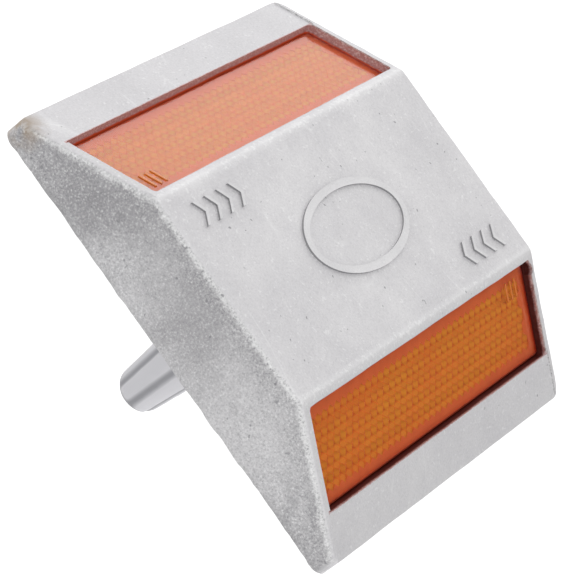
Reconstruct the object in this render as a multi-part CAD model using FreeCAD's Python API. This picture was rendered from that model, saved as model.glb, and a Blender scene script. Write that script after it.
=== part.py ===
# Two-way raised pavement marker: a cast aluminium body with a hollow, ribbed underside, a fluted
# anchor shank pressed into it from below, and one retroreflector cartridge let into each slope.
# A cartridge is a prism lens welded to a plastic backing plate, on a bed of adhesive.
# Millimetres. X runs across the lenses, Y along the traffic, Z up. The origin lies on the shank's
# axis in the plane of the underside, which rests on the road.

import FreeCAD, Part
import math
import os

from FreeCAD import Vector

# Body
BASE_WIDTH = 100.0  # along X
BASE_LENGTH = 100.0  # along Y
HEIGHT = 19.5
LIP_HEIGHT = 4.7  # upright foot of each slope
PLATEAU_LENGTH = 45.0  # flat top, along Y
CORNER_RADIUS = 2.6  # upright corners of the base
EDGE_RADIUS = 1.0  # worn upper edges
CREST_RADIUS = 1.5  # where the slopes meet the flat top

# Lens pocket, measured up the slope from its foot
POCKET_WIDTH = 95.0
POCKET_START = 9.4
POCKET_END = 29.5
POCKET_DEPTH = 6.6
POCKET_CORNER = 0.8
APRON_WIDTH = 96.4  # strip in front of the lens, lower than the rims beside it, out to the lip
APRON_DROP = 0.35
RELIEF_RADIUS = 1.2  # small relief in the upper right corner of the front pocket
RELIEF_SET_IN = 0.3

# Reflector cartridge, in the order it lies in the pocket
ADHESIVE_THICKNESS = 0.4
BACKING_THICKNESS = 2.8
LENS_THICKNESS = 1.6
CARTRIDGE_GAP = 0.15  # all round
ADHESIVE_MARGIN = 0.8  # bed smaller than the backing plate, all round
LENS_CHAMFER = 0.7  # round the lens's front
WELD_BORDER = 2.0  # flat border above and below the prisms, welded to the backing plate
SIDE_BORDER = 1.8  # the same at the lens's two ends
PRISM_PITCH = 2.5
PRISM_DEPTH = 2.0
PRISM_SPACE_DEPTH = 2.2  # air space in the backing plate, behind and round the prisms
PRISM_CLEARANCE = 0.3

# Raised marks on the flat top
RIM_RADIUS_X = 18.7
RIM_RADIUS_Y = 9.6
RIM_WIDTH = 1.8
RIM_HEIGHT = 0.55
CHEVRON_COUNT = 4
CHEVRON_PITCH = 4.4
CHEVRON_HEIGHT = 5.3
CHEVRON_LEAN = 2.0  # how far the point stands ahead of the tails
CHEVRON_STROKE = 1.1
CHEVRON_GROUP_X = -33.8
CHEVRON_GROUP_Y = 16.3

# Underside
SIDE_WALL = 5.0
POCKET_FLOOR = 2.4  # metal behind the lens pocket
TOP_WALL = 3.8
RIB_THICKNESS = 3.0
RIB_OFFSET = 17.0  # the two lengthwise ribs, from the axis
BOSS_RADIUS = 12.0
SOCKET_DEPTH = 12.5

# Anchor shank
SHANK_LENGTH = 47.5
SHANK_ROOT_RADIUS = 9.0
SHANK_TIP_RADIUS = 4.8
SHANK_TIP_ROUND = 2.8
FLUTE_COUNT = 6
FLUTE_RADIUS = 2.2
FLUTE_DEPTH = 0.6
FLUTE_END_GAP = 2.5  # plain collar left at the root
FIRST_FLUTE_ANGLE = 196.0
TENON_LENGTH = 12.0  # as wide as the root, so that no shoulder stands under the body
TENON_CHAMFER = 0.8
PRESS_GAP = 0.01

SLOPE_RISE = HEIGHT - LIP_HEIGHT
SLOPE_RUN = (BASE_LENGTH - PLATEAU_LENGTH) / 2
SLOPE_ANGLE = math.atan2(SLOPE_RISE, SLOPE_RUN)
OVERLAP = 0.5  # how far a raised mark or a cutter passes through a surface
TOLERANCE = 0.01  # for finding edges by their place

X_AXIS = Vector(1, 0, 0)
Z_AXIS = Vector(0, 0, 1)
ORIGIN = Vector(0, 0, 0)


def upright(edge):
    """Whether an edge stands along Z."""
    box = edge.BoundBox
    return box.ZLength > TOLERANCE and max(box.XLength, box.YLength) < TOLERANCE


def half_turn(shape):
    """The same shape on the other side of the shank's axis."""
    other = shape.copy()
    other.rotate(ORIGIN, Z_AXIS, 180)
    return other


def on_slope(shape):
    """Takes a shape drawn flat, with its Y up the slope and its Z out of it, to the front slope."""
    placed = shape.copy()
    placed.rotate(ORIGIN, X_AXIS, math.degrees(SLOPE_ANGLE))
    placed.translate(Vector(0, -BASE_LENGTH / 2, LIP_HEIGHT))
    return placed


def slab(width, start, end, bottom, top, corner=0.0):
    """A plate centred on X, from start to end along Y and from bottom to top, corners rounded."""
    plate = Part.makeBox(width, end - start, top - bottom, Vector(-width / 2, start, bottom))
    if corner:
        plate = plate.makeFillet(corner, [edge for edge in plate.Edges if upright(edge)])
    return plate


def polygon_prism(points, direction):
    """A flat outline, pushed along a direction."""
    outline = Part.makePolygon(points + points[:1])
    return Part.Face(outline).extrude(direction)


# Body casting


def outer_block():
    """The wedge: two lips, two slopes and a flat top, with its upper edges worn round."""
    half, top = BASE_LENGTH / 2, PLATEAU_LENGTH / 2
    side = [
        (-half, 0),
        (half, 0),
        (half, LIP_HEIGHT),
        (top, HEIGHT),
        (-top, HEIGHT),
        (-half, LIP_HEIGHT),
    ]
    points = [Vector(-BASE_WIDTH / 2, y, z) for y, z in side]
    block = polygon_prism(points, Vector(BASE_WIDTH, 0, 0))
    block = block.makeFillet(CORNER_RADIUS, [edge for edge in block.Edges if upright(edge)])
    crests = []
    for edge in block.Edges:
        box = edge.BoundBox
        if box.ZMin > HEIGHT - TOLERANCE and box.YLength < TOLERANCE:
            crests.append(edge)
    block = block.makeFillet(CREST_RADIUS, crests)
    upper = []
    for edge in block.Edges:
        middle = edge.CenterOfMass
        at_side = abs(middle.x) > BASE_WIDTH / 2 - TOLERANCE
        at_lip = abs(middle.y) > BASE_LENGTH / 2 - TOLERANCE
        if middle.z > LIP_HEIGHT / 2 and (at_side or at_lip) and not upright(edge):
            upper.append(edge)
    return block.makeFillet(EDGE_RADIUS, upper)


def lens_pocket():
    """Space for the cartridge in the front slope, with the shallow apron before it."""
    pocket = slab(
        POCKET_WIDTH, POCKET_START, POCKET_END, -POCKET_DEPTH, OVERLAP, POCKET_CORNER
    )
    apron = slab(APRON_WIDTH, -EDGE_RADIUS, POCKET_START + OVERLAP, -APRON_DROP, OVERLAP)
    return on_slope(pocket.fuse(apron))


def corner_relief():
    """Small round relief in the wall above the lens, in the front pocket only."""
    visible_wall = POCKET_DEPTH - ADHESIVE_THICKNESS - BACKING_THICKNESS - LENS_THICKNESS
    x = POCKET_WIDTH / 2 - RELIEF_SET_IN
    y = POCKET_END - POCKET_CORNER - RELIEF_RADIUS
    cutter = Part.makeCylinder(RELIEF_RADIUS, visible_wall + OVERLAP, Vector(x, y, -visible_wall))
    return on_slope(cutter)


def underside_hollow():
    """The hollow under the body, left between the walls, three ribs and the shank's boss."""
    slope = math.tan(SLOPE_ANGLE)
    drop = (POCKET_DEPTH + POCKET_FLOOR) / math.cos(SLOPE_ANGLE)
    foot = BASE_LENGTH / 2 - (drop - LIP_HEIGHT) / slope
    ceiling = HEIGHT - TOP_WALL
    shoulder = foot - ceiling / slope
    side = [(-foot, 0), (-foot, -OVERLAP), (foot, -OVERLAP), (foot, 0)]
    side += [(shoulder, ceiling), (-shoulder, ceiling)]
    inner_width = BASE_WIDTH - 2 * SIDE_WALL
    points = [Vector(-inner_width / 2, y, z) for y, z in side]
    hollow = polygon_prism(points, Vector(inner_width, 0, 0))
    solid_parts = [Part.makeCylinder(BOSS_RADIUS, HEIGHT)]
    for offset in (-RIB_OFFSET, RIB_OFFSET):
        start = Vector(offset - RIB_THICKNESS / 2, -BASE_LENGTH / 2, 0)
        solid_parts.append(Part.makeBox(RIB_THICKNESS, BASE_LENGTH, HEIGHT, start))
    start = Vector(-BASE_WIDTH / 2, -RIB_THICKNESS / 2, 0)
    solid_parts.append(Part.makeBox(BASE_WIDTH, RIB_THICKNESS, HEIGHT, start))
    return hollow.cut(solid_parts)


def raised_rim():
    """Oval rim in the middle of the flat top."""
    inner_x = RIM_RADIUS_X - RIM_WIDTH
    inner_y = RIM_RADIUS_Y - RIM_WIDTH
    foot = Vector(0, 0, HEIGHT - OVERLAP)
    ovals = []
    for long_radius, short_radius in ((RIM_RADIUS_X, RIM_RADIUS_Y), (inner_x, inner_y)):
        oval = Part.Wire(Part.Ellipse(foot, long_radius, short_radius).toShape())
        ovals.append(Part.Face(oval).extrude(Vector(0, 0, OVERLAP + RIM_HEIGHT)))
    return ovals[0].cut(ovals[1])


def chevrons():
    """A row of raised chevrons in the back left corner of the flat top."""
    marks = []
    half = CHEVRON_HEIGHT / 2
    first = CHEVRON_GROUP_X - CHEVRON_PITCH * (CHEVRON_COUNT - 1) / 2
    for number in range(CHEVRON_COUNT):
        tail = first + number * CHEVRON_PITCH - (CHEVRON_LEAN + CHEVRON_STROKE) / 2
        outline = [
            (tail, -half),
            (tail + CHEVRON_STROKE, -half),
            (tail + CHEVRON_STROKE + CHEVRON_LEAN, 0),
            (tail + CHEVRON_STROKE, half),
            (tail, half),
            (tail + CHEVRON_LEAN, 0),
        ]
        foot = HEIGHT - OVERLAP
        points = [Vector(x, CHEVRON_GROUP_Y + y, foot) for x, y in outline]
        marks.append(polygon_prism(points, Vector(0, 0, OVERLAP + RIM_HEIGHT)))
    return marks


def body_casting():
    pocket = lens_pocket()
    socket_radius = SHANK_ROOT_RADIUS + PRESS_GAP
    socket = Part.makeCylinder(socket_radius, SOCKET_DEPTH + OVERLAP, Vector(0, 0, -OVERLAP))
    cutters = [pocket, half_turn(pocket), corner_relief(), underside_hollow(), socket]
    body = outer_block().cut(cutters)
    marks = chevrons()
    marks += [half_turn(mark) for mark in marks]
    return body.fuse([raised_rim()] + marks).removeSplitter()


# Anchor shank


def flute_cutter(angle):
    """A round bar that lies along the taper and cuts one flute."""
    taper = (SHANK_ROOT_RADIUS - SHANK_TIP_RADIUS) / SHANK_LENGTH
    reach = FLUTE_RADIUS - FLUTE_DEPTH
    root_z = -FLUTE_END_GAP
    root = Vector(SHANK_ROOT_RADIUS + taper * root_z + reach, 0, root_z)
    tip_z = -SHANK_LENGTH - OVERLAP
    tip = Vector(SHANK_ROOT_RADIUS + taper * tip_z + reach, 0, tip_z)
    bar = Part.makeCylinder(FLUTE_RADIUS, (tip - root).Length, root, tip - root)
    bar = bar.fuse(Part.makeSphere(FLUTE_RADIUS, root))
    bar.rotate(ORIGIN, Z_AXIS, angle)
    return bar


def anchor_shank():
    """Tapered, fluted shank with a plain tenon that is pressed into the body's boss."""
    foot = Vector(0, 0, -SHANK_LENGTH)
    shank = Part.makeCone(SHANK_TIP_RADIUS, SHANK_ROOT_RADIUS, SHANK_LENGTH, foot)
    tip = [edge for edge in shank.Edges if edge.BoundBox.ZMax < -SHANK_LENGTH + TOLERANCE]
    shank = shank.makeFillet(SHANK_TIP_ROUND, tip)
    step = 360 / FLUTE_COUNT
    flutes = [flute_cutter(FIRST_FLUTE_ANGLE + number * step) for number in range(FLUTE_COUNT)]
    tenon = Part.makeCylinder(SHANK_ROOT_RADIUS, TENON_LENGTH)
    lead = [edge for edge in tenon.Edges if edge.BoundBox.ZMin > TENON_LENGTH - TOLERANCE]
    tenon = tenon.makeChamfer(TENON_CHAMFER, lead)
    return shank.cut(flutes).fuse(tenon).removeSplitter()


# Reflector cartridge


def cartridge_slab(bottom, top, margin=0.0, side_margin=0.0):
    """A plate of the pocket's outline, smaller by the gap and the margins."""
    inset = CARTRIDGE_GAP + margin
    width = POCKET_WIDTH - 2 * (CARTRIDGE_GAP + side_margin)
    return slab(width, POCKET_START + inset, POCKET_END - inset, bottom, top, POCKET_CORNER)


def adhesive_bed():
    bottom = -POCKET_DEPTH
    top = bottom + ADHESIVE_THICKNESS
    return on_slope(cartridge_slab(bottom, top, ADHESIVE_MARGIN, ADHESIVE_MARGIN))


def backing_plate():
    """Shallow tray whose rim is welded to the lens, so that air stays behind the prisms."""
    bottom = -POCKET_DEPTH + ADHESIVE_THICKNESS
    top = bottom + BACKING_THICKNESS
    tray = cartridge_slab(bottom, top)
    space = cartridge_slab(
        top - PRISM_SPACE_DEPTH,
        top + OVERLAP,
        WELD_BORDER - PRISM_CLEARANCE,
        SIDE_BORDER - PRISM_CLEARANCE,
    )
    return on_slope(tray.cut(space))


def lens():
    """Clear plate, smooth in front and ridged behind where the prisms are."""
    bottom = -POCKET_DEPTH + ADHESIVE_THICKNESS + BACKING_THICKNESS
    top = bottom + LENS_THICKNESS
    plate = cartridge_slab(bottom, top)
    front = [edge for edge in plate.Edges if edge.BoundBox.ZMin > top - TOLERANCE]
    plate = plate.makeChamfer(LENS_CHAMFER, front)
    inset = CARTRIDGE_GAP + WELD_BORDER
    start, end = POCKET_START + inset, POCKET_END - inset
    count = int((POCKET_WIDTH - 2 * (CARTRIDGE_GAP + SIDE_BORDER)) / PRISM_PITCH)
    left = -count * PRISM_PITCH / 2
    ridges = [(left, start, bottom + OVERLAP)]
    for number in range(count):
        ridges.append((left + number * PRISM_PITCH, start, bottom))
        ridges.append((left + (number + 0.5) * PRISM_PITCH, start, bottom - PRISM_DEPTH))
    ridges.append((-left, start, bottom))
    ridges.append((-left, start, bottom + OVERLAP))
    prisms = polygon_prism([Vector(*point) for point in ridges], Vector(0, end - start, 0))
    return on_slope(plate.fuse(prisms).removeSplitter())


def single_solid(shape):
    """The one solid that a piece is made of."""
    if len(shape.Solids) != 1 or not shape.isValid():
        raise ValueError("a piece has to be one valid solid")
    return shape.Solids[0]


def main():
    nodes = {"body_casting": body_casting(), "anchor_shank": anchor_shank()}
    layers = {"lens": lens(), "backing_plate": backing_plate(), "adhesive_bed": adhesive_bed()}
    for name, shape in layers.items():
        nodes[name + "_front"] = shape
        nodes[name + "_rear"] = half_turn(shape)
    os.makedirs("parts", exist_ok=True)
    for name, shape in nodes.items():
        solid = single_solid(shape)
        print(name, round(solid.Volume, 1))
        solid.exportStep("parts/" + name + ".step")


main()
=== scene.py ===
import math

import bpy
from bpy.props import FloatProperty, FloatVectorProperty, IntProperty, PointerProperty
from mathutils import Matrix, Quaternion, Vector


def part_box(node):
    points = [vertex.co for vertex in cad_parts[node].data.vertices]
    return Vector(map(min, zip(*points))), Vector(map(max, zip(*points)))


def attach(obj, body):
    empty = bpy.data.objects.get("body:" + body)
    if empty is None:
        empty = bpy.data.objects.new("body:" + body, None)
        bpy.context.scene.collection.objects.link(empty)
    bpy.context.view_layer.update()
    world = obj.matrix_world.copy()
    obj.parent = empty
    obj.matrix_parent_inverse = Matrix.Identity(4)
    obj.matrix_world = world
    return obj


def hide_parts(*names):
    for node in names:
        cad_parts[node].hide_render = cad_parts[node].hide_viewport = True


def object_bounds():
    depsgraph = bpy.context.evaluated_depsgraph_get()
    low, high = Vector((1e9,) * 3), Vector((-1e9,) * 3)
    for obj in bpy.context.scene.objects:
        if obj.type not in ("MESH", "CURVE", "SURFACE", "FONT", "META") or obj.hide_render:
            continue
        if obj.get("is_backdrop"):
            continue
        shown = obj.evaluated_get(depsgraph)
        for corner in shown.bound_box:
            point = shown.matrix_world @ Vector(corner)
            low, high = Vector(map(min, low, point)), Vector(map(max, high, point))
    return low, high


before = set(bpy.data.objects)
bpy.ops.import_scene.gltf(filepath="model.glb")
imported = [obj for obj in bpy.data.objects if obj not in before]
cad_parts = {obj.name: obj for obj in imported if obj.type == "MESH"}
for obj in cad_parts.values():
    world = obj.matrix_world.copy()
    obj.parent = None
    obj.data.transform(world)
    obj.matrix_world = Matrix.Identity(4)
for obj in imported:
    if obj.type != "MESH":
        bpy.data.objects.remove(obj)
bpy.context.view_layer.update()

bl_info = {
    "name": "Raised Pavement Marker",
    "version": (1, 0, 0),
    "blender": (4, 5, 0),
    "location": "3D View > Sidebar > Marker",
    "description": "Builds a two-way raised pavement marker round its packed frame",
    "category": "Add Mesh",
}

MM = 0.001
MERGE = 0.001 * MM  # distance under which two vertices are one
CLEAR, BORDER, PRISMS, LINES, SIDES = range(5)  # material slots of a lens

# The casting
RIM_HEIGHT = 0.55 * MM  # of the raised oval, above the flat top
MARK_FOOT = 0.08 * MM  # height above the flat top from which a raised mark is sure to begin
# The worn upper edges of the sides are also lightened by a painted highlight
SIDE_REACH = 1.3 * MM  # depth of the rough sides, with their worn upper edges
FOOT_REACH = 0.7 * MM  # height of the sides' ragged lower edges
CORNER_REACH = 4.0 * MM  # length left smooth at each end of those edges
WAVE_ZERO = 0.92  # texture value that leaves the surface where it is; high, so that little stands proud
FLASH_ZERO = 0.8  # the same on the lower edges, which the other waves have moved in already
# Dark grains and pits, also used for the painted shade on the raised marks' walls
DARK_GRAIN_AND_SHADE = (0.2, 0.2, 0.21)
# Light grains and scratches, also used for the painted highlight along the crests
LIGHT_GRAIN_AND_HIGHLIGHT = (0.9, 0.9, 0.9)

# The film on the pockets' walls, partly painted light and shade: how far past the pocket its mask reaches,
# to take in the waves of the walls
WALL_REACH = 1.1 * MM
MOUTH_REACH = 0.25 * MM
POCKET_FLOOR = 7.0 * MM  # depth below the slope at which it ends

# The shank
SHANK_SMOOTHING = 10

# The lenses
FLATNESS = 0.01 * MM  # how far from the lens's flat back a face may lie and still be part of it
CLEAR_HAZE = (1.0, 0.9, 0.66)
MARK_COUNT = 3
MARK_PITCH = 2.0 * MM
MARK_X = 38.5 * MM
MARK_Y = 25.2 * MM
MARK_WIDTH = 0.55 * MM
MARK_LENGTH = 4.0 * MM
MARK_HEIGHT = 0.3 * MM

# The light
DIM_SIDE = (0.80, -0.50, 0.34)  # towards the dim patch of the studio
BRIGHT_SIDE = (0.83, 0.49, 0.27)  # towards the side panel
OVERHEAD = (-0.1, 0.2, 1.0)  # towards the top panel


# Sizes and colours that a user may change


def length(name, description, millimetres):
    return FloatProperty(name=name, description=description, default=millimetres * MM, unit="LENGTH")


def angle(name, description, degrees):
    return FloatProperty(name=name, description=description, default=math.radians(degrees), unit="ROTATION")


def colour(name, description, default):
    return FloatVectorProperty(name=name, description=description, default=default, subtype="COLOR")


class CastingSettings(bpy.types.PropertyGroup):
    lip_height: length("Lip height", "Upright foot of each slope", 4.7)
    top_length: length("Top length", "Flat top, along the traffic", 45.0)
    cell: length("Cell", "Spacing of the cuts that let the surface undulate", 1.25)
    wave_height: length("Wave height", "Depth of the hollows left by the sand mould", 0.22)
    wave_size: length("Wave size", "Distance between those hollows", 9.0)
    sand_height: length("Sand height", "Depth of the rough sand texture on the sides", 0.16)
    sand_size: length("Sand size", "Size of its lumps", 2.4)
    flash_height: length("Flash height", "Unevenness of the sides' lower edges", 0.9)
    flash_size: length("Flash size", "Distance between its bumps", 4.0)
    metal: colour("Metal", "Colour of the blasted top", (0.68, 0.67, 0.68))
    # shade: duller patches of the top, also the painted shade on the rear slope
    shade: colour("Shade", "Colour of its duller patches", (0.6, 0.59, 0.605))
    # side: grey of the grainy sides, darker than the top partly as painted shade
    side: colour("Side", "Colour of the grainy sides", (0.48, 0.475, 0.485))
    side_shade: colour("Side shade", "Colour of their darker patches", (0.29, 0.285, 0.295))
    # worn: colour of the sides' worn upper edges, partly a painted highlight, and of the polished tops of
    # the raised marks
    worn: colour("Worn", "Colour of the worn upper edges", (0.78, 0.78, 0.78))
    stain: colour("Stain", "Rust-brown stain at one corner", (0.3, 0.22, 0.14))
    # film: mauve on the front pocket's walls
    film: colour("Film", "Thin film of adhesive on the front pocket's walls", (0.42, 0.22, 0.21))
    # Painted light: a paler copy of that mauve for the rear pocket's walls
    lit_rear_film: colour("Rear film", "Paler film on the rear pocket's walls", (0.5, 0.28, 0.27))
    # Painted shade: dark red next to the front lens
    shaded_deep_film: colour("Deep film", "Thicker film next to the front lens", (0.085, 0.01, 0.006))
    # Painted glow: amber light next to the rear lens
    rear_lens_glow: colour("Rear deep film", "Amber light on the film by the rear lens", (0.75, 0.12, 0.03))
    film_grain: colour("Film grain", "Bare grains in the film", (0.72, 0.62, 0.62))


class ShankSettings(bpy.types.PropertyGroup):
    cell: length("Cell", "Spacing of the mesh that softens the flutes", 0.4)
    root_radius: length("Root radius", "At the underside", 9.0)
    tip_radius: length("Tip radius", "Before the tip is rounded", 4.8)
    metal: colour("Metal", "Colour of the smooth casting", (0.62, 0.615, 0.64))
    # Painted shade in the flutes
    flute_shade: colour("Groove", "Colour in the flutes", (0.24, 0.24, 0.255))
    pit: colour("Pit", "Colour of its small dark pits", (0.12, 0.12, 0.13))


class LensSettings(bpy.types.PropertyGroup):
    pocket_width: length("Pocket width", "Width of the pocket", 95.0)
    pocket_start: length("Pocket start", "From the lip, up the slope", 9.4)
    pocket_end: length("Pocket end", "From the lip, up the slope", 29.5)
    gap: length("Gap", "Between the lens and the pocket's wall", 0.15)
    set_back: length("Set back", "From the slope down to the lens", 1.8)
    plate: length("Plate", "Thickness of the lens without its prisms", 1.55)
    corner: length("Corner", "Rounding of the lens's corners", 0.8)
    chamfer: length("Chamfer", "Chamfer of the lens's front edge", 0.7)
    pitch: length("Pitch", "From prism to prism across the lens", 2.5)
    row_pitch: length("Row pitch", "From row to row up the lens", 2.85)
    shift: length("Shift", "From the middle of the lens down to the middle row", 0.4)
    depth: length("Depth", "Depth of a cube corner", 1.9)
    line: length("Line", "Width of the worn ridges between prisms", 0.22)
    columns: IntProperty(name="Columns", description="Prisms in a full row", default=36)
    rows: IntProperty(name="Rows", description="Rows of prisms", default=5)
    amber: colour("Amber", "Colour of the acrylic", (1.0, 0.93, 0.62))
    prisms: colour("Prisms", "Colour seen in the prisms", (1.0, 0.5, 0.06))
    prism_lines: colour("Prism lines", "Colour of the ridges between them", (1.0, 0.36, 0.045))
    # prism_point_shade: painted shade deep in the prisms and in bands along their rows
    prism_point_shade: colour("Prism points", "Colour deep in the prisms", (0.7, 0.15, 0.02))
    border: colour("Border", "Colour seen in the welded border", (1.0, 0.22, 0.07))
    # sides: painted shadow of the gap between the lens and its pocket
    sides: colour("Sides", "Colour seen in the lens's rim", (0.55, 0.08, 0.03))
    marks: colour("Marks", "Colour of the raised bars", (0.72, 0.2, 0.03))
    backing: colour("Backing", "Colour of the backing plate", (0.75, 0.16, 0.05))
    adhesive: colour("Adhesive", "Colour of the adhesive bed", (0.12, 0.05, 0.04))


class StageSettings(bpy.types.PropertyGroup):
    floor_drop: length("Floor drop", "From the shank's tip down to the floor", 300.0)
    floor_size: length("Floor size", "Side of the floor", 60000.0)
    distance: length("Distance", "From the aim to the camera", 681.4)
    azimuth: angle("Azimuth", "Camera round the marker", -86.716)
    elevation: angle("Elevation", "Camera above the level", 33.56)
    roll: angle("Roll", "Turn about the view", 52.73)
    focal_length: FloatProperty(name="Focal length", description="In millimetres", default=218.6)
    aim: FloatVectorProperty(
        name="Aim",
        description="Point that the camera looks at",
        default=(-0.66 * MM, -1.71 * MM, -1.18 * MM),
        unit="LENGTH",
    )


# Help with selecting and shaping meshes


def begin(piece=None):
    """Leaves edit mode and deselects everything; makes the given piece the active one."""
    if bpy.context.object and bpy.context.object.mode != "OBJECT":
        bpy.ops.object.mode_set(mode="OBJECT")
    bpy.ops.object.select_all(action="DESELECT")
    if piece:
        piece.select_set(True)
        bpy.context.view_layer.objects.active = piece


def edit(piece, kind="FACE"):
    begin(piece)
    bpy.ops.object.mode_set(mode="EDIT")
    bpy.ops.mesh.select_mode(type=kind)
    bpy.ops.mesh.select_all(action="SELECT")


def choose(piece, kind, test):
    """Selects the vertices, edges or faces of a piece in edit mode whose place passes the test."""
    bpy.ops.mesh.select_all(action="DESELECT")
    bpy.ops.mesh.select_mode(type=kind)
    bpy.ops.object.mode_set(mode="OBJECT")
    mesh = piece.data
    points = [vertex.co for vertex in mesh.vertices]
    if kind == "VERT":
        for vertex in mesh.vertices:
            vertex.select = test(vertex.co)
    if kind == "EDGE":
        for one in mesh.edges:
            one.select = test([points[number] for number in one.vertices])
    if kind == "FACE":
        for face in mesh.polygons:
            face.select = test(face)
    bpy.ops.object.mode_set(mode="EDIT")


def apply_modifier(piece, kind, **values):
    begin(piece)
    modifier = piece.modifiers.new(kind.title(), kind)
    for name, value in values.items():
        setattr(modifier, name, value)
    bpy.ops.object.modifier_apply(modifier=modifier.name)


def apply_place(piece):
    begin(piece)
    bpy.ops.object.transform_apply(location=True, rotation=True, scale=True)


def copy_of_node(node, name):
    """A merged, shadeable copy of a CAD node."""
    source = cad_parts[node]
    piece = bpy.data.objects.new(name, source.data.copy())
    bpy.context.collection.objects.link(piece)
    piece.data.materials.clear()
    edit(piece, "VERT")
    bpy.ops.mesh.customdata_custom_splitnormals_clear()
    bpy.ops.mesh.remove_doubles(threshold=MERGE)
    bpy.ops.mesh.dissolve_limited(angle_limit=math.radians(0.3))
    return piece


def cut_into_cells(piece, cell):
    """Cuts a piece by evenly spaced planes across X, Y and Z, so that its faces can follow a wave."""
    low, high = piece.bound_box[0], piece.bound_box[6]
    edit(piece)
    for axis in (0, 1, 2):
        normal = [0, 0, 0]
        normal[axis] = 1
        count = int((high[axis] - low[axis]) / cell)
        for number in range(1, count + 1):
            place = [0, 0, 0]
            place[axis] = low[axis] + (number - 0.5) * (high[axis] - low[axis]) / count
            bpy.ops.mesh.select_all(action="SELECT")
            bpy.ops.mesh.bisect(plane_co=place, plane_no=normal)
    bpy.ops.mesh.select_all(action="SELECT")
    bpy.ops.mesh.quads_convert_to_tris()
    bpy.ops.object.mode_set(mode="OBJECT")


def undulate(piece, name, size, height, group="", direction="NORMAL", zero=WAVE_ZERO):
    """Moves the surface, or a group of its vertices, in and out in soft waves."""
    clouds = bpy.data.textures.new(name, "CLOUDS")
    clouds.noise_scale = size
    clouds.noise_depth = 2
    apply_modifier(
        piece,
        "DISPLACE",
        texture=clouds,
        texture_coords="LOCAL",
        strength=height,
        mid_level=zero,
        direction=direction,
        vertex_group=group,
    )


def paint(piece, *materials):
    for material in materials:
        piece.data.materials.append(material)


def finish_piece(piece, angle=30.0):
    begin(piece)
    bpy.ops.object.shade_smooth_by_angle(angle=math.radians(angle))
    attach(piece, "root")


# Help with node materials


class Shader:
    """A node material under construction."""

    def __init__(self, name):
        self.material = bpy.data.materials.new(name)
        self.material.use_nodes = True
        self.tree = self.material.node_tree
        self.surface = self.tree.nodes["Principled BSDF"]
        self.place = self.add("ShaderNodeTexCoord").outputs["Object"]

    def add(self, kind, settings=None, **inputs):
        node = self.tree.nodes.new(kind)
        for name, value in (settings or {}).items():
            setattr(node, name, value)
        for name, value in inputs.items():
            self.put(node.inputs[name.replace("_", " ")], value)
        return node

    def put(self, socket, value):
        if isinstance(value, bpy.types.NodeSocket):
            self.tree.links.new(value, socket)
        else:
            socket.default_value = value

    def set(self, **inputs):
        for name, value in inputs.items():
            self.put(self.surface.inputs[name.replace("_", " ")], value)

    def math(self, operation, *values):
        node = self.add("ShaderNodeMath", {"operation": operation})
        for socket, value in zip(node.inputs, values):
            self.put(socket, value)
        return node.outputs[0]

    def noise(self, scale, detail=2.0, roughness=0.5, place=None):
        node = self.add(
            "ShaderNodeTexNoise",
            Vector=place or self.place,
            Scale=scale,
            Detail=detail,
            Roughness=roughness,
        )
        return node.outputs["Fac"]

    def ramp(self, value, low, high, start=0.0, end=1.0):
        """Takes low..high to start..end, and holds it outside."""
        node = self.add("ShaderNodeMapRange", {"clamp": True})
        for name, number in zip(("From Min", "From Max", "To Min", "To Max"), (low, high, start, end)):
            self.put(node.inputs[name], number)
        self.put(node.inputs["Value"], value)
        return node.outputs["Result"]

    def blend(self, factor, first, second):
        node = self.add("ShaderNodeMix", {"data_type": "RGBA"})
        self.put(node.inputs["Factor"], factor)
        for socket, value in ((node.inputs[6], first), (node.inputs[7], second)):
            self.put(socket, (*value, 1.0) if isinstance(value, tuple) else value)
        return node.outputs[2]

    def stretch(self, scale, turn=0.0):
        node = self.add("ShaderNodeMapping", Vector=self.place)
        node.inputs["Scale"].default_value = scale
        node.inputs["Rotation"].default_value = (0, 0, turn)
        return node.outputs["Vector"]

    def bump(self, height, distance, strength=1.0, below=None):
        node = self.add("ShaderNodeBump", Height=height, Distance=distance, Strength=strength)
        if below:
            self.put(node.inputs["Normal"], below)
        return node.outputs["Normal"]


def rgb(value):
    return tuple(value[:3])


def slope_angle(settings):
    low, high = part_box("body_casting")
    rise = high.z - RIM_HEIGHT - settings.lip_height
    run = (high.y - low.y - settings.top_length) / 2
    return math.atan2(rise, run)


def slope_coordinates(shader, settings, point):
    """Way up the nearer slope from its lip, and depth below that slope."""
    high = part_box("body_casting")[1]
    angle = slope_angle(settings)
    rise = shader.math("SUBTRACT", point[2], settings.lip_height)
    run = shader.math("SUBTRACT", high.y, shader.math("ABSOLUTE", point[1]))
    climb = shader.math("MULTIPLY", rise, math.sin(angle))
    up_slope = shader.math("MULTIPLY_ADD", run, math.cos(angle), climb)
    height = shader.math("MULTIPLY", rise, math.cos(angle))
    sunk = shader.math("SUBTRACT", shader.math("MULTIPLY", run, math.sin(angle)), height)
    return up_slope, sunk


def product(shader, factors):
    result = factors[0]
    for factor in factors[1:]:
        result = shader.math("MULTIPLY", result, factor)
    return result


def pocket_film(shader, lens, across, up_slope, sunk):
    """1 on the walls of the pockets, ragged at their mouths."""
    ragged = shader.math("MULTIPLY_ADD", shader.noise(900.0, 2.0, 0.7), 0.5 * MM, sunk)
    inside = (
        shader.math("LESS_THAN", across, lens.pocket_width / 2 + WALL_REACH),
        shader.math("GREATER_THAN", up_slope, lens.pocket_start - MOUTH_REACH),
        shader.math("LESS_THAN", up_slope, lens.pocket_end + WALL_REACH),
        shader.math("LESS_THAN", sunk, POCKET_FLOOR),
        shader.ramp(ragged, 0.45 * MM, 0.75 * MM),
    )
    return product(shader, inside)


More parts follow.
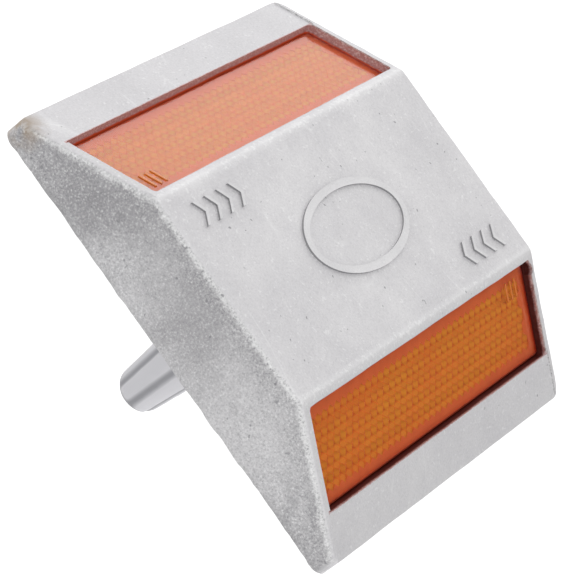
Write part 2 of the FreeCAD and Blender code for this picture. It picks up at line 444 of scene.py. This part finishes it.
def film_colour(shader, settings, sunk, rear, grain):
    """Mauve and grainy near the mouth, red next to the lens, higher up in the front pocket. The rear
    pocket's paler mauve is painted light; next to the lens the dark red of the front pocket is painted shade
    and the amber of the rear pocket a painted glow.
    """
    film = shader.blend(rear, rgb(settings.film), rgb(settings.lit_rear_film))
    deep = shader.blend(rear, rgb(settings.shaded_deep_film), rgb(settings.rear_lens_glow))
    outer = shader.blend(shader.ramp(grain, 0.5, 0.38, 0.0, 0.75), film, rgb(settings.film_grain))
    ragged = shader.math("MULTIPLY_ADD", shader.noise(600.0, 2.0, 0.7), 0.4 * MM, sunk)
    start = shader.ramp(rear, 0.0, 1.0, 0.8 * MM, 2.0 * MM)
    end = shader.ramp(rear, 0.0, 1.0, 1.3 * MM, 2.4 * MM)
    return shader.blend(shader.ramp(ragged, start, end), outer, deep)


def corner_stain(shader, settings):
    """Blotches round the foot of the rear left corner."""
    low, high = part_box("body_casting")
    distance = shader.add("ShaderNodeVectorMath", {"operation": "DISTANCE"})
    shader.put(distance.inputs[0], shader.place)
    distance.inputs[1].default_value = (low.x, high.y, settings.lip_height)
    near = shader.ramp(distance.outputs["Value"], 1.5 * MM, 7 * MM, 1.0, 0.0)
    return shader.math("MULTIPLY", near, shader.ramp(shader.noise(300.0, 3.0), 0.38, 0.6, 0.0, 0.8))


def scratches(shader, scale, turn, width):
    """Thin curved lines, broken up so that only a few are left."""
    warped = shader.stretch((1.0, 0.35, 1.0), turn)
    line = shader.math("ABSOLUTE", shader.math("SUBTRACT", shader.noise(scale, 1.0, 0.3, warped), 0.5))
    thin = shader.ramp(line, 0.0, width, 1.0, 0.0)
    return shader.math("MULTIPLY", thin, shader.ramp(shader.noise(95.0, 1.0), 0.54, 0.6))


def top_specks_and_crest_highlight(shader, settings, point, sideways):
    """Bright specks all over the top, and more of them along the two crests, with a painted highlight along
    the crests.
    """
    crest = shader.math("SUBTRACT", shader.math("ABSOLUTE", point[1]), settings.top_length / 2)
    near = shader.ramp(shader.math("ABSOLUTE", crest), 0.3 * MM, 1.5 * MM, 1.0, 0.0)
    threshold = shader.ramp(near, 0.0, 1.0, 0.66, 0.58)
    speck = shader.math("GREATER_THAN", shader.noise(1100.0, 2.0, 0.6), threshold)
    # near adds a painted highlight along the crests
    amount = shader.math("MULTIPLY_ADD", near, 0.22, shader.math("MULTIPLY", speck, 0.3))
    return shader.math("MULTIPLY", amount, shader.ramp(sideways, 0.0, 0.3, 1.0, 0.0))


def mark_polish_and_wall_shade(shader, point, upright):
    """How polished the tops of the raised marks are, and how much painted shade darkens the upright walls
    round them.
    """
    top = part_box("body_casting")[1].z
    above = shader.ramp(point[2], top - 0.3 * MM, top - 0.2 * MM, 0.0, 0.25)
    raised = shader.math("GREATER_THAN", point[2], top - RIM_HEIGHT + MARK_FOOT)
    return above, shader.math("MULTIPLY", raised, shader.ramp(upright, 0.3, 0.6, 0.8, 0.0))


def top_colour(shader, settings, point, patches):
    """Mottled grey of the blasted top and slopes, with painted shade on the rear slope."""
    top = shader.blend(shader.ramp(patches, 0.35, 0.7), rgb(settings.metal), rgb(settings.shade))
    speckle = shader.noise(430.0, 3.0, 0.7)
    top = shader.blend(shader.ramp(speckle, 0.5, 0.75, 0.0, 0.35), top, rgb(settings.shade))
    crest = settings.top_length / 2
    # Painted shade on the rear slope
    rear_slope_shade = shader.ramp(point[1], crest, crest + 2.0 * MM, 0.0, 0.85)
    return shader.blend(rear_slope_shade, top, rgb(settings.shade))


def side_colour(shader, settings, along, patches, ragged, front_end):
    """Grey of the sides, darker than the top partly as painted shade: darker in patches and in a band below
    the bright upper edge, lighter towards the front as painted light, blotched at the front end.
    """
    side = shader.blend(shader.ramp(patches, 0.4, 0.66), rgb(settings.side), rgb(settings.side_shade))
    under_edge = shader.ramp(ragged, 3.4 * MM, 9.0 * MM, 0.55, 0.0)
    side = shader.blend(under_edge, side, rgb(settings.side_shade))
    # Painted light: the sides grow lighter towards the front end
    side = shader.blend(shader.ramp(along, 0.6, -0.2, 0.0, 0.28), side, rgb(settings.metal))
    blotches = shader.ramp(shader.noise(130.0, 3.0, 0.6), 0.42, 0.56, 0.0, 0.85)
    return shader.blend(shader.math("MULTIPLY", front_end, blotches), side, rgb(settings.side_shade))


def add_grain(shader, base, grain, sideways, grainy):
    """Dark and light grains, faint on the top and strongest where grainy is 1, and dark pits."""
    dark = shader.ramp(sideways, 0.0, 1.0, 0.17, shader.ramp(grainy, 0.0, 1.0, 0.55, 0.88))
    dark = shader.math("MULTIPLY", shader.ramp(grain, 0.5, 0.72), dark)
    base = shader.blend(dark, base, DARK_GRAIN_AND_SHADE)
    light = shader.ramp(sideways, 0.0, 1.0, 0.2, shader.ramp(grainy, 0.0, 1.0, 0.4, 0.52))
    light = shader.math("MULTIPLY", shader.ramp(grain, 0.45, 0.28), light)
    base = shader.blend(light, base, LIGHT_GRAIN_AND_HIGHLIGHT)
    rare = shader.ramp(sideways, 0.0, 1.0, 0.76, 0.735)
    pits = shader.ramp(shader.noise(750.0, 1.0), rare, shader.math("ADD", rare, 0.03), 0.0, 0.7)
    return shader.blend(pits, base, DARK_GRAIN_AND_SHADE)


def casting_material(settings, lens):
    """Blasted sand casting: grainy sides, smoother top, worn edges with a painted highlight, dark film in
    the pockets with painted light and shade in it, and painted light and shade on the sides, the rear slope,
    the crests and the raised marks' walls.
    """
    shader = Shader("cast_aluminium")
    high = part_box("body_casting")[1]
    point = shader.add("ShaderNodeSeparateXYZ", Vector=shader.place).outputs
    across = shader.math("ABSOLUTE", point[0])
    along = shader.math("DIVIDE", point[1], high.y)
    up_slope, sunk = slope_coordinates(shader, settings, point)
    below_top = shader.math("SUBTRACT", high.z - RIM_HEIGHT, point[2])
    depth = shader.math("MINIMUM", below_top, sunk)
    ragged = shader.math("MULTIPLY_ADD", shader.noise(700.0, 3.0, 0.7), 2.4 * MM, depth)
    normal = shader.add("ShaderNodeTexCoord").outputs["Normal"]
    facing = shader.add("ShaderNodeSeparateXYZ", Vector=normal).outputs
    sideways = shader.ramp(shader.math("ABSOLUTE", facing[0]), 0.45, 0.95)
    on_marks = shader.math("GREATER_THAN", point[2], high.z - RIM_HEIGHT + MARK_FOOT)
    sideways = shader.math("MULTIPLY", sideways, shader.math("SUBTRACT", 1.0, on_marks))
    front_end = shader.ramp(along, -0.55, -0.8)
    rear_end = shader.ramp(along, 0.2, 0.75)

    patches = shader.noise(55.0, 4.0, 0.6)
    grain = shader.noise(2300.0, 2.0, 0.8)
    top = top_colour(shader, settings, point, patches)
    side = side_colour(shader, settings, along, patches, ragged, front_end)
    base = shader.blend(sideways, top, side)
    # Wear together with a painted highlight along the sides' upper edges
    worn = shader.math("MULTIPLY", sideways, shader.ramp(ragged, 1.9 * MM, 3.0 * MM, 0.75, 0.0))
    base = shader.blend(worn, base, rgb(settings.worn))
    ends = shader.math("MAXIMUM", rear_end, front_end)
    grainy = shader.math("MAXIMUM", ends, shader.ramp(ragged, 4.0 * MM, 7.0 * MM, 0.9, 0.0))
    base = add_grain(shader, base, grain, sideways, grainy)
    lines = shader.math("ADD", scratches(shader, 42.0, 0.4, 0.006), scratches(shader, 30.0, 2.0, 0.004))
    lines = shader.math("MULTIPLY", lines, shader.ramp(sideways, 0.0, 0.5, 0.2, 0.0))
    base = shader.blend(lines, base, LIGHT_GRAIN_AND_HIGHLIGHT)
    base = shader.blend(top_specks_and_crest_highlight(shader, settings, point, sideways), base, LIGHT_GRAIN_AND_HIGHLIGHT)
    polished, wall = mark_polish_and_wall_shade(shader, point, shader.math("ABSOLUTE", facing[2]))
    base = shader.blend(polished, base, rgb(settings.worn))
    # Painted shade on the upright walls of the raised marks
    base = shader.blend(wall, base, DARK_GRAIN_AND_SHADE)
    base = shader.blend(corner_stain(shader, settings), base, rgb(settings.stain))
    rear = shader.math("GREATER_THAN", point[1], 0.0)
    film = pocket_film(shader, lens, across, up_slope, sunk)
    # The pockets' walls, with painted light in the rear pocket, painted shade next to the front lens and a
    # painted glow next to the rear lens
    base = shader.blend(film, base, film_colour(shader, settings, sunk, rear, grain))

    dents = shader.bump(shader.noise(260.0, 2.0), 0.1 * MM, 0.5)
    strength = shader.ramp(sideways, 0.0, 1.0, 0.25, 1.0)
    sand = shader.bump(shader.noise(1300.0, 3.0, 0.7), 0.3 * MM, strength, dents)
    shader.set(
        Base_Color=base,
        Metallic=0.3,
        Roughness=shader.ramp(patches, 0.3, 0.7, 0.5, 0.62),
        Normal=sand,
    )
    return shader.material


def shank_material(settings):
    """Smooth casting: painted shade in the flutes, with a few small dark pits."""
    shader = Shader("shank_aluminium")
    point = shader.add("ShaderNodeSeparateXYZ", Vector=shader.place).outputs
    level = shader.add("ShaderNodeCombineXYZ", X=point[0], Y=point[1]).outputs[0]
    radius = shader.add("ShaderNodeVectorMath", {"operation": "LENGTH"})
    shader.put(radius.inputs[0], level)
    taper = (settings.root_radius - settings.tip_radius) / -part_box("anchor_shank")[0].z
    cone = shader.math("MULTIPLY_ADD", point[2], taper, settings.root_radius)
    depth = shader.math("SUBTRACT", cone, radius.outputs["Value"])
    streaks = shader.noise(90.0, 3.0, 0.5, shader.stretch((1.0, 1.0, 0.25)))
    dull = tuple(0.8 * part for part in settings.metal[:3])
    base = shader.blend(shader.ramp(streaks, 0.4, 0.65, 0.0, 0.8), rgb(settings.metal), dull)
    # Painted shade in the flutes, deeper towards their bottoms
    base = shader.blend(shader.ramp(depth, 0.2 * MM, 0.55 * MM, 0.0, 0.9), base, rgb(settings.flute_shade))
    base = shader.blend(shader.ramp(shader.noise(310.0, 1.0), 0.74, 0.79, 0.0, 0.7), base, rgb(settings.pit))
    pits = shader.noise(420.0, 2.0, 0.5)
    shader.set(
        Base_Color=base,
        Metallic=0.55,
        Roughness=shader.ramp(streaks, 0.3, 0.7, 0.4, 0.52),
        Normal=shader.bump(pits, 0.08 * MM, 0.5),
    )
    return shader.material


def lens_material(settings):
    """Clear front of the lens."""
    shader = Shader("amber_acrylic")
    haze = shader.noise(500.0, 2.0)
    ripples = shader.bump(shader.noise(130.0, 2.0), 0.03 * MM, 0.4)
    shader.set(
        Base_Color=shader.blend(haze, rgb(settings.amber), CLEAR_HAZE),
        Roughness=shader.ramp(haze, 0.3, 0.7, 0.08, 0.13),
        IOR=1.42,
        Transmission_Weight=1.0,
        Normal=ripples,
    )
    return shader.material


def rim_material(name, value):
    """Back of the lens's border, welded to the backing plate, or its sides, whose darker colour is a painted
    shadow of the gap round the lens.
    """
    shader = Shader(name)
    mottle = shader.noise(350.0, 3.0)
    dark = (value[0] * 0.96, value[1] * 0.9, value[2] * 0.9)
    shader.set(
        Base_Color=shader.blend(shader.ramp(mottle, 0.35, 0.65), rgb(value), dark),
        Roughness=0.4,
        Normal=shader.bump(mottle, 0.05 * MM, 0.3),
    )
    return shader.material


def prism_material(settings, casting, name, top):
    """Back of the lens's field of cube corners, with painted shade: darker towards each point, less so in
    the rear lens, redder on one facet in three, and darker in bands along the rows.
    """
    shader = Shader(name)
    point = shader.add("ShaderNodeSeparateXYZ", Vector=shader.place).outputs
    up_slope, sunk = slope_coordinates(shader, casting, point)
    ridge = settings.set_back + settings.plate
    rear = shader.math("GREATER_THAN", point[1], 0.0)
    # Painted shade towards the points of the cube corners, weaker in the rear lens
    deep = shader.ramp(sunk, ridge + 0.68 * settings.depth, ridge + 0.95 * settings.depth)
    deep = shader.math("MULTIPLY", deep, shader.ramp(rear, 0.0, 1.0, 0.62, 0.35))
    base = shader.blend(deep, rgb(top), rgb(settings.prism_point_shade))
    normal = shader.add("ShaderNodeTexCoord").outputs["Normal"]
    facet_shade = shader.math("ABSOLUTE", shader.add("ShaderNodeSeparateXYZ", Vector=normal).outputs[0])
    # Painted shade on one facet in three, by which way it faces
    base = shader.blend(shader.ramp(facet_shade, 0.3, 0.6, 0.25, 0.0), base, rgb(settings.border))
    # Painted shade in bands along the rows
    rows = shader.math("SINE", shader.math("MULTIPLY", up_slope, 4 * math.pi / settings.row_pitch))
    base = shader.blend(shader.ramp(rows, -0.2, 1.0, 0.0, 0.3), base, rgb(settings.prism_point_shade))
    mottle = shader.noise(120.0, 3.0)
    base = shader.blend(shader.ramp(mottle, 0.4, 0.65, 0.0, 0.25), base, rgb(settings.border))
    shader.set(Base_Color=base, Roughness=0.3)
    return shader.material


def mark_material(settings):
    """Raised bars on the lens, thick enough to look darker than the prisms."""
    shader = Shader("amber_marks")
    mottle = shader.noise(900.0, 2.0)
    dark = tuple(part * 0.7 for part in settings.marks[:3])
    shader.set(Base_Color=shader.blend(mottle, rgb(settings.marks), dark), Roughness=0.12, IOR=1.49)
    return shader.material


def backing_material(settings):
    shader = Shader("backing_plastic")
    mottle = shader.noise(300.0, 3.0)
    dark = tuple(part * 0.75 for part in settings.backing[:3])
    shader.set(
        Base_Color=shader.blend(mottle, rgb(settings.backing), dark),
        Roughness=0.45,
        Normal=shader.bump(shader.noise(900.0), 0.05 * MM, 0.4),
    )
    return shader.material


def adhesive_material(settings):
    shader = Shader("adhesive")
    mottle = shader.noise(220.0, 3.0)
    dark = tuple(part * 0.5 for part in settings.adhesive[:3])
    shader.set(
        Base_Color=shader.blend(mottle, rgb(settings.adhesive), dark),
        Roughness=0.6,
        Normal=shader.bump(mottle, 0.1 * MM, 0.5),
    )
    return shader.material


# Pieces


def ruffle_feet(piece, settings, rough):
    """Moves the lower edges of the two sides unevenly inwards, but not at the corners."""
    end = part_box("body_casting")[1].y - CORNER_REACH
    for name, sign in (("left_foot", -1), ("right_foot", 1)):
        foot = piece.vertex_groups.new(name=name)
        for number in rough:
            point = piece.data.vertices[number].co
            if point.z < FOOT_REACH and sign * point.x > 0 and abs(point.y) < end:
                foot.add([number], 1.0, "REPLACE")
        undulate(piece, name, settings.flash_size, sign * settings.flash_height, name, "X", FLASH_ZERO)


def make_casting(settings, lens):
    piece = copy_of_node("body_casting", "casting")
    cut_into_cells(piece, settings.cell)
    undulate(piece, "mould_waves", settings.wave_size, settings.wave_height)
    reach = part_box("body_casting")[1].x - SIDE_REACH
    rough = [vertex.index for vertex in piece.data.vertices if abs(vertex.co.x) > reach]
    sides = piece.vertex_groups.new(name="sides")
    sides.add(rough, 1.0, "REPLACE")
    undulate(piece, "sand", settings.sand_size, settings.sand_height, sides.name)
    ruffle_feet(piece, settings, rough)
    paint(piece, casting_material(settings, lens))
    finish_piece(piece)
    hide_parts("body_casting")


def make_shank(settings):
    piece = copy_of_node("anchor_shank", "fluted_shank")
    apply_modifier(piece, "REMESH", mode="VOXEL", voxel_size=settings.cell)
    apply_modifier(piece, "SMOOTH", factor=0.5, iterations=SHANK_SMOOTHING)
    paint(piece, shank_material(settings))
    finish_piece(piece, 60.0)
    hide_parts("anchor_shank")


def lens_shell(settings, materials):
    """The lens plate without its back, drawn flat: Y up the slope, Z out of it, 0 on the slope."""
    width = settings.pocket_width - 2 * settings.gap
    start = settings.pocket_start + settings.gap
    end = settings.pocket_end - settings.gap
    front = -settings.set_back
    back = front - settings.plate
    bpy.ops.mesh.primitive_cube_add(
        size=1.0,
        location=(0, (start + end) / 2, (front + back) / 2),
        scale=(width, end - start, settings.plate),
    )
    shell = bpy.context.object
    paint(shell, *materials)
    apply_place(shell)
    edit(shell, "EDGE")
    choose(shell, "EDGE", lambda ends: abs(ends[0].z - ends[1].z) > settings.plate / 2)
    bpy.ops.mesh.bevel(offset=settings.corner, segments=5)
    choose(shell, "EDGE", lambda ends: min(point.z for point in ends) > front - MERGE)
    bpy.ops.mesh.bevel(offset=settings.chamfer, segments=1)
    choose(shell, "FACE", lambda face: face.normal.z < -0.9)
    bpy.ops.mesh.delete(type="ONLY_FACE")
    bpy.ops.object.mode_set(mode="OBJECT")
    return shell


def prism_rows(settings, materials, columns, rows, first_y):
    """Rows of cube corners, modelled once and repeated: three square faces that meet at a point behind."""
    side = settings.row_pitch / 1.5
    bpy.ops.mesh.primitive_circle_add(vertices=6, radius=side, fill_type="TRIFAN")
    cell = bpy.context.object
    paint(cell, *materials)
    edit(cell, "VERT")
    bpy.ops.transform.resize(value=(settings.pitch / (math.sqrt(3) * side), 1, 1))
    choose(cell, "VERT", lambda point: point.length < side / 4)
    bpy.ops.transform.translate(value=(0, 0, -settings.depth))

    def is_ridge_end(point):
        low_side = abs(point.y + side / 2) < side / 8
        return abs(point.y - side) < side / 8 or low_side

    choose(cell, "VERT", is_ridge_end)
    bpy.ops.transform.translate(value=(0, 0, -settings.depth / 2))
    edit(cell)
    bpy.ops.mesh.dissolve_limited(angle_limit=math.radians(1))
    bpy.ops.mesh.select_mode(type="FACE")
    bpy.ops.mesh.select_all(action="SELECT")
    bpy.ops.mesh.inset(thickness=settings.line / 2, use_individual=True)
    bpy.ops.object.mode_set(mode="OBJECT")
    facet = max(face.area for face in cell.data.polygons)
    for face in cell.data.polygons:
        face.material_index = PRISMS if face.area > facet / 2 else LINES
    apply_modifier(
        cell,
        "ARRAY",
        count=columns,
        use_relative_offset=False,
        use_constant_offset=True,
        constant_offset_displace=(settings.pitch, 0, 0),
    )
    apply_modifier(
        cell,
        "ARRAY",
        count=rows,
        use_relative_offset=False,
        use_constant_offset=True,
        constant_offset_displace=(0, 2 * settings.row_pitch, 0),
    )
    back = -settings.set_back - settings.plate
    cell.location = (-(columns - 1) * settings.pitch / 2, first_y, back)
    apply_place(cell)
    return cell


def sort_faces(piece, back):
    """Gives the rest of the lens's faces their materials; the prisms have theirs already."""
    for face in piece.data.polygons:
        lowest = min(piece.data.vertices[number].co.z for number in face.vertices)
        if face.material_index != CLEAR:
            continue
        if lowest < back - FLATNESS:
            face.material_index = LINES
        elif face.center.z < back + FLATNESS:
            face.material_index = BORDER
        elif abs(face.normal.z) < 0.9:
            face.material_index = SIDES


def prism_field(settings, materials, back):
    """The whole field of cube corners, with a skirt that ends level with the lens's flat back."""
    middle = (settings.pocket_start + settings.pocket_end) / 2 - settings.shift
    bottom = middle - (settings.rows - 1) / 2 * settings.row_pitch
    columns, rows = settings.columns, settings.rows
    full_rows = prism_rows(settings, materials, columns, (rows + 1) // 2, bottom)
    short_rows = prism_rows(settings, materials, columns - 1, rows // 2, bottom + settings.row_pitch)
    begin(full_rows)
    short_rows.select_set(True)
    bpy.ops.object.join()
    field = bpy.context.object
    edit(field, "VERT")
    bpy.ops.mesh.remove_doubles(threshold=10 * MERGE)
    bpy.ops.mesh.select_all(action="DESELECT")
    bpy.ops.mesh.select_mode(type="EDGE")
    bpy.ops.mesh.select_non_manifold()
    bpy.ops.mesh.extrude_region_move()
    bpy.ops.transform.resize(value=(1, 1, 0), center_override=(0, 0, back))
    edit(field, "VERT")
    bpy.ops.mesh.remove_doubles(threshold=MERGE)
    return field


def make_lens(settings, casting, name, node, turn, materials):
    """Closed lens: smooth plate in front, flat border and a field of cube corners behind."""
    back = -settings.set_back - settings.plate
    shell = lens_shell(settings, materials)
    field = prism_field(settings, materials, back)
    begin(shell)
    field.select_set(True)
    bpy.ops.object.join()
    piece = bpy.context.object
    edit(piece, "EDGE")
    bpy.ops.mesh.select_all(action="DESELECT")
    bpy.ops.mesh.select_non_manifold()
    bpy.ops.mesh.fill()
    edit(piece, "VERT")
    bpy.ops.mesh.remove_doubles(threshold=MERGE)
    bpy.ops.mesh.normals_make_consistent(inside=False)
    bpy.ops.object.mode_set(mode="OBJECT")
    sort_faces(piece, back)
    place_on_slope(piece, casting, turn)
    piece.name = name
    finish_piece(piece, 20.0)
    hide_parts(node)


def make_marks(settings, casting, name, turn, material):
    """Three short raised bars in the upper right corner of a lens, left by the mould."""
    bars = []
    for number in range(MARK_COUNT):
        x = MARK_X + number * MARK_PITCH
        front = -settings.set_back
        bpy.ops.mesh.primitive_cube_add(
            size=1.0,
            location=(x, MARK_Y, front + MARK_HEIGHT / 4),
            scale=(MARK_WIDTH, MARK_LENGTH, MARK_HEIGHT),
        )
        bar = bpy.context.object
        apply_place(bar)
        edit(bar, "EDGE")
        choose(bar, "EDGE", lambda ends: min(point.z for point in ends) > front)
        bpy.ops.mesh.bevel(offset=MARK_HEIGHT / 3, segments=3)
        bpy.ops.object.mode_set(mode="OBJECT")
        bars.append(bar)
    begin(bars[0])
    for bar in bars:
        bar.select_set(True)
    bpy.ops.object.join()
    piece = bpy.context.object
    place_on_slope(piece, casting, turn)
    piece.name = name
    paint(piece, material)
    finish_piece(piece)


def place_on_slope(piece, casting, turn):
    """Takes a piece drawn flat to the front slope, or with half a turn to the rear one."""
    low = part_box("body_casting")[0]
    tilt = Matrix.Rotation(slope_angle(casting), 4, "X")
    lift = Matrix.Translation(Vector((0, low.y, casting.lip_height)))
    piece.data.transform(Matrix.Rotation(turn, 4, "Z") @ lift @ tilt)
    piece.data.update()


def dress_node(node, material):
    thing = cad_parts[node]
    thing.data.materials.clear()
    paint(thing, material)


# Stage


def stage_material():
    shader = Shader("pale_floor")
    mottle = shader.noise(0.8, 2.0)
    shader.set(
        Base_Color=shader.blend(mottle, (0.93, 0.93, 0.93), (0.95, 0.95, 0.95)),
        Roughness=0.9,
        Emission_Color=(1, 1, 1, 1),
        Emission_Strength=0.15,
    )
    return shader.material


def make_floor(settings):
    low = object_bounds()[0]
    bpy.ops.mesh.primitive_plane_add(size=settings.floor_size, location=(0, 0, low.z - settings.floor_drop))
    floor = bpy.context.object
    floor.name = "floor"
    apply_place(floor)
    paint(floor, stage_material())
    floor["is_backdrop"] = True


def make_panel(name, direction, distance, width, height, power):
    """A soft light panel, out of the camera's sight, turned to the marker."""
    place = Vector(direction).normalized() * distance
    bpy.ops.object.light_add(type="AREA", location=place)
    lamp = bpy.context.object
    lamp.name = name
    lamp.rotation_euler = place.to_track_quat("Z", "Y").to_euler()
    lamp.data.shape = "RECTANGLE"
    lamp.data.size = width
    lamp.data.size_y = height
    lamp.data.energy = power
    lamp.visible_camera = False


def make_world():
    """Pale studio: even light, with a dim patch that the front lens mirrors."""
    world = bpy.data.worlds.new("studio")
    bpy.context.scene.world = world
    world.use_nodes = True
    tree = world.node_tree
    turn = tree.nodes.new("ShaderNodeVectorMath")
    turn.operation = "DOT_PRODUCT"
    turn.inputs[1].default_value = Vector(DIM_SIDE).normalized()
    tree.links.new(tree.nodes.new("ShaderNodeTexCoord").outputs["Generated"], turn.inputs[0])
    fade = tree.nodes.new("ShaderNodeMapRange")
    fade.interpolation_type = "SMOOTHSTEP"
    for name, value in (("From Min", 0.84), ("From Max", 0.97), ("To Min", 1.04), ("To Max", 0.15)):
        fade.inputs[name].default_value = value
    tree.links.new(turn.outputs["Value"], fade.inputs["Value"])
    tree.links.new(fade.outputs["Result"], tree.nodes["Background"].inputs["Strength"])
    tree.nodes["Background"].inputs["Color"].default_value = (1, 1, 1, 1)
    bpy.context.scene.view_settings.view_transform = "Standard"


def make_camera(settings):
    azimuth, elevation = settings.azimuth, settings.elevation
    level = math.cos(elevation)
    back = Vector((math.sin(azimuth) * level, -math.cos(azimuth) * level, math.sin(elevation)))
    place = Vector(settings.aim) + back * settings.distance
    bpy.ops.object.camera_add(location=place)
    camera = bpy.context.object
    camera.rotation_mode = "QUATERNION"
    turn = Quaternion((0, 0, 1), settings.roll)
    camera.rotation_quaternion = (-back).to_track_quat("-Z", "Y") @ turn
    camera.data.lens = settings.focal_length
    camera.data.sensor_width = 36.0
    camera.data.clip_start = 0.01
    camera.data.clip_end = 200.0
    bpy.context.scene.camera = camera


# Operators


class MARKER_OT_casting(bpy.types.Operator):
    """Builds the cast body round its node"""

    bl_idname = "marker.casting"
    bl_label = "Body Casting"

    def execute(self, context):
        make_casting(context.scene.marker_casting, context.scene.marker_lens)
        return {"FINISHED"}


class MARKER_OT_shank(bpy.types.Operator):
    """Builds the fluted anchor shank"""

    bl_idname = "marker.shank"
    bl_label = "Anchor Shank"

    def execute(self, context):
        make_shank(context.scene.marker_shank)
        return {"FINISHED"}


class MARKER_OT_lenses(bpy.types.Operator):
    """Builds the two prism lenses"""

    bl_idname = "marker.lenses"
    bl_label = "Prism Lenses"

    def execute(self, context):
        scene = context.scene
        settings, casting = scene.marker_lens, scene.marker_casting
        prisms = prism_material(settings, casting, "amber_prisms", settings.prisms)
        lines = prism_material(settings, casting, "prism_lines", settings.prism_lines)
        border = rim_material("welded_border", settings.border)
        # The lens's sides carry a painted shadow of the gap round the lens
        sides = rim_material("shaded_lens_sides", settings.sides)
        materials = (lens_material(settings), border, prisms, lines, sides)
        marks = mark_material(settings)
        for end, turn in (("front", 0.0), ("rear", math.pi)):
            make_lens(settings, casting, "prism_lens_" + end, "lens_" + end, turn, materials)
            make_marks(settings, casting, "lens_marks_" + end, turn, marks)
        return {"FINISHED"}


class MARKER_OT_backings(bpy.types.Operator):
    """Finishes the backing plates and the adhesive beds"""

    bl_idname = "marker.backings"
    bl_label = "Backings and Adhesive"

    def execute(self, context):
        settings = context.scene.marker_lens
        plastic = backing_material(settings)
        glue = adhesive_material(settings)
        for end in ("front", "rear"):
            dress_node("backing_plate_" + end, plastic)
            dress_node("adhesive_bed_" + end, glue)
        return {"FINISHED"}


class MARKER_OT_stage(bpy.types.Operator):
    """Sets up the floor, the light and the camera"""

    bl_idname = "marker.stage"
    bl_label = "Stage"

    def execute(self, context):
        settings = context.scene.marker_stage
        begin()
        make_floor(settings)
        make_world()
        make_panel("side_panel", BRIGHT_SIDE, distance=1.3, width=0.7, height=0.5, power=1.1)
        make_panel("top_panel", OVERHEAD, distance=1.5, width=1.2, height=1.2, power=1.35)
        make_camera(settings)
        return {"FINISHED"}


class MARKER_PT_panel(bpy.types.Panel):
    bl_idname = "MARKER_PT_panel"
    bl_label = "Raised Pavement Marker"
    bl_space_type = "VIEW_3D"
    bl_region_type = "UI"
    bl_category = "Marker"

    def draw(self, context):
        for operator in OPERATORS:
            self.layout.operator(operator.bl_idname)


SETTINGS = {
    "marker_casting": CastingSettings,
    "marker_shank": ShankSettings,
    "marker_lens": LensSettings,
    "marker_stage": StageSettings,
}
OPERATORS = (
    MARKER_OT_casting,
    MARKER_OT_shank,
    MARKER_OT_lenses,
    MARKER_OT_backings,
    MARKER_OT_stage,
)
CLASSES = (*SETTINGS.values(), *OPERATORS, MARKER_PT_panel)


def register():
    for one in CLASSES:
        bpy.utils.register_class(one)
    for name, group in SETTINGS.items():
        setattr(bpy.types.Scene, name, PointerProperty(type=group))


def unregister():
    for name in SETTINGS:
        delattr(bpy.types.Scene, name)
    for one in reversed(CLASSES):
        bpy.utils.unregister_class(one)


def main():
    register()
    bpy.ops.marker.casting()
    bpy.ops.marker.shank()
    bpy.ops.marker.lenses()
    bpy.ops.marker.backings()
    bpy.ops.marker.stage()


if __name__ == "__main__":
    main()
